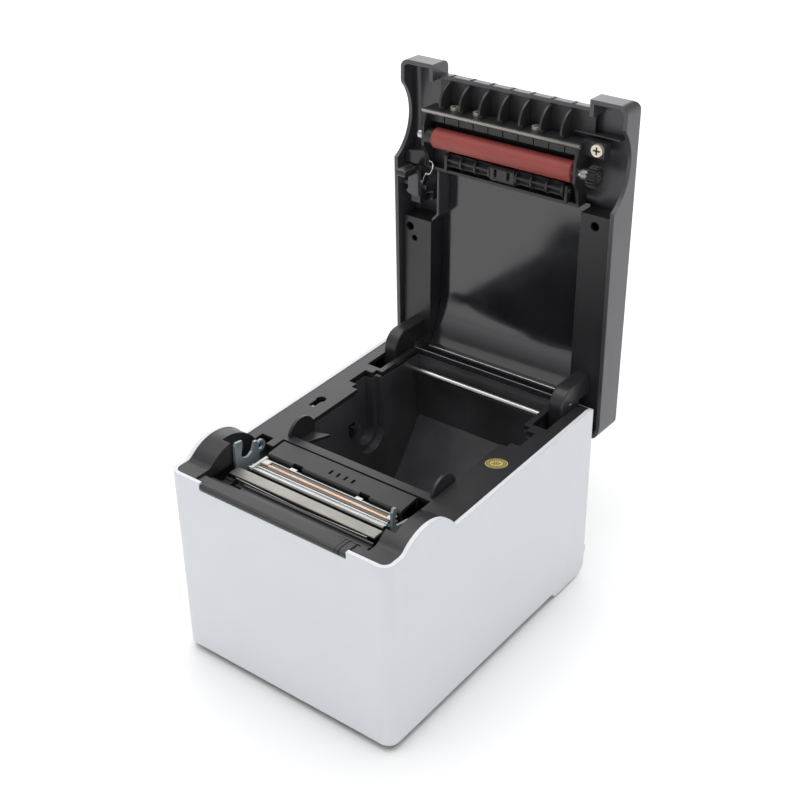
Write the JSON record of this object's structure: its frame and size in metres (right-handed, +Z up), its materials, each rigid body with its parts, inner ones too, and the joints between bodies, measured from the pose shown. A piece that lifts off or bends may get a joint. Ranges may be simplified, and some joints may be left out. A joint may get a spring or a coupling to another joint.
{
  "type": "receipt printer",
  "caption": "Desktop thermal receipt printer with a white case and its dark lid thrown open, showing the paper bay, print head, cutter and rubber feed roller.",
  "frame": {"origin": "on the table, under the middle of the box around the open printer", "axes": "+X to the printer's right, +Y to its rear, +Z up"},
  "size_m": [0.1332, 0.2021, 0.2625],
  "materials": {
    "case_white": "fine satin moulding",
    "black_plastic": "satin moulding",
    "gear_plastic": "smooth acetal",
    "lid_plastic": "fine spark texture",
    "panel_gloss": "polished",
    "foot_rubber": "matte",
    "roller_rubber": "ground silicone",
    "bright_steel": "ground and plated",
    "plate_steel": "rolled sheet",
    "zinc_steel": "zinc plated",
    "bright_aluminium": "extruded",
    "head_glaze": "glazed",
    "brass_gear": "turned",
    "circuit_board": "lacquered",
    "gold_label": "metallic film",
    "lens_plastic": "clear light pipe"
  },
  "bodies": {
    "base": {"outer_case": "case_white", "base_plate": "black_plastic", "rubber_feet": "foot_rubber", "deck_frame": "black_plastic", "hump_covers": "black_plastic", "front_bezel": "black_plastic", "paper_bay": "black_plastic", "near_end_sensor": "black_plastic", "paper_guides": "black_plastic", "hinge_shaft": "bright_steel", "hinge_brackets": "zinc_steel", "mechanism_frame": "black_plastic", "cutter_plate": "plate_steel", "cutter_motor": "zinc_steel", "cutter_bracket": "zinc_steel", "paper_strip": "bright_aluminium", "head_pin": "bright_steel", "head_springs": "bright_steel", "head_cover": "black_plastic", "drive_plate": "zinc_steel", "feed_motor": "zinc_steel", "main_board": "circuit_board", "rear_panel": "black_plastic", "power_inlet": "black_plastic", "usb_port": "zinc_steel", "network_port": "zinc_steel", "drawer_port": "black_plastic", "switch_housing": "black_plastic", "qc_sticker": "gold_label"},
    "lid": {"lid_cover": "lid_plastic", "lid_inner_frame": "black_plastic", "lid_inner_panel": "panel_gloss", "hinge_arms": "black_plastic", "exit_comb": "black_plastic", "platen_carrier": "black_plastic", "tear_bar": "plate_steel", "platen_bushings": "gear_plastic", "lid_pins": "bright_steel", "paper_sensor": "black_plastic", "status_lenses": "lens_plastic", "carrier_screws": "brass_gear"},
    "platen": {"platen_shaft": "bright_steel", "platen_rubber": "roller_rubber", "platen_gear": "gear_plastic"},
    "left_roller": {"left_guide_roller": "black_plastic"},
    "right_roller": {"right_guide_roller": "black_plastic"},
    "lever": {"release_lever": "black_plastic"},
    "lid_button": {"release_button": "lid_plastic"},
    "paper_button": {"feed_button": "lid_plastic"},
    "blade": {"moving_blade": "plate_steel", "blade_rack": "gear_plastic"},
    "blade_pinion": {"cutter_gear": "gear_plastic"},
    "big_idler": {"lower_idler": "gear_plastic"},
    "small_idler": {"upper_idler": "gear_plastic"},
    "motor_shaft": {"motor_pinion": "brass_gear"},
    "print_head": {"heat_sink": "bright_aluminium", "head_ceramic": "head_glaze"},
    "latch": {"latch_hooks": "zinc_steel", "latch_rod": "bright_steel"},
    "rocker": {"power_rocker": "black_plastic"}
  },
  "joints": [
    {"name": "lid_hinge", "type": "hinge", "parent": "base", "child": "lid", "pos_m": [0, 0.0679, 0.0943], "axis": [1, 0, 0], "range_deg": [0, 91]},
    {"name": "platen_spin", "type": "hinge", "parent": "lid", "child": "platen", "pos_m": [0, 0.0843, 0.22573], "axis": [1, 0, 0], "continuous": true},
    {"name": "left_roller_spin", "type": "hinge", "parent": "lid", "child": "left_roller", "pos_m": [-0.021, 0.08611, 0.2149], "axis": [1, 0, 0], "continuous": true},
    {"name": "right_roller_spin", "type": "hinge", "parent": "lid", "child": "right_roller", "pos_m": [0.022, 0.08611, 0.2149], "axis": [1, 0, 0], "continuous": true},
    {"name": "release_button_slide", "type": "slide", "parent": "lid", "child": "lid_button", "axis": [0, -0.9998, 0.0175], "range_m": [0, 0.0015], "stiffness_N_per_m": 500, "springref_m": -0.001},
    {"name": "release_lever_pivot", "type": "hinge", "parent": "lid", "child": "lever", "pos_m": [-0.0545, 0.08637, 0.19569], "axis": [1, 0, 0], "range_deg": [-12.5, 0]},
    {"name": "feed_button_slide", "type": "slide", "parent": "lid", "child": "paper_button", "axis": [0, -0.9998, 0.0175], "range_m": [0, 0.0008], "stiffness_N_per_m": 600, "springref_m": -0.001},
    {"name": "blade_slide", "type": "slide", "parent": "base", "child": "blade", "axis": [0, 0, 1], "range_m": [0, 0.0055]},
    {"name": "blade_pinion_spin", "type": "hinge", "parent": "base", "child": "blade_pinion", "pos_m": [-0.039, -0.0884, 0.089], "axis": [1, 0, 0], "range_deg": [0, 58]},
    {"name": "big_idler_spin", "type": "hinge", "parent": "base", "child": "big_idler", "pos_m": [0.0516, -0.06285, 0.07812], "axis": [1, 0, 0], "continuous": true},
    {"name": "small_idler_spin", "type": "hinge", "parent": "base", "child": "small_idler", "pos_m": [0.0516, -0.05972, 0.09585], "axis": [1, 0, 0], "continuous": true},
    {"name": "motor_spin", "type": "hinge", "parent": "base", "child": "motor_shaft", "pos_m": [0.0516, -0.06055, 0.06512], "axis": [1, 0, 0], "continuous": true},
    {"name": "head_pivot", "type": "hinge", "parent": "base", "child": "print_head", "pos_m": [0, -0.0498, 0.0935], "axis": [1, 0, 0], "range_deg": [0, 2], "stiffness_Nm_per_rad": 0.5, "springref_deg": -5.73},
    {"name": "latch_pivot", "type": "hinge", "parent": "base", "child": "latch", "pos_m": [0, -0.0578, 0.09], "axis": [1, 0, 0], "range_deg": [0, 6], "stiffness_Nm_per_rad": 0.3, "springref_deg": -5.73},
    {"name": "power_switch", "type": "hinge", "parent": "base", "child": "rocker", "pos_m": [-0.0605, 0.0392, 0.031], "axis": [0, 0, 1], "range_deg": [0, 10]}
  ],
  "couplings": [
    {"joint": "release_lever_pivot", "follows": "release_button_slide", "rad_per_m": -139.6},
    {"joint": "blade_pinion_spin", "follows": "blade_slide", "rad_per_m": 178.57},
    {"joint": "small_idler_spin", "follows": "big_idler_spin", "ratio": -1.1429},
    {"joint": "motor_spin", "follows": "big_idler_spin", "ratio": -2.6667}
  ]
}
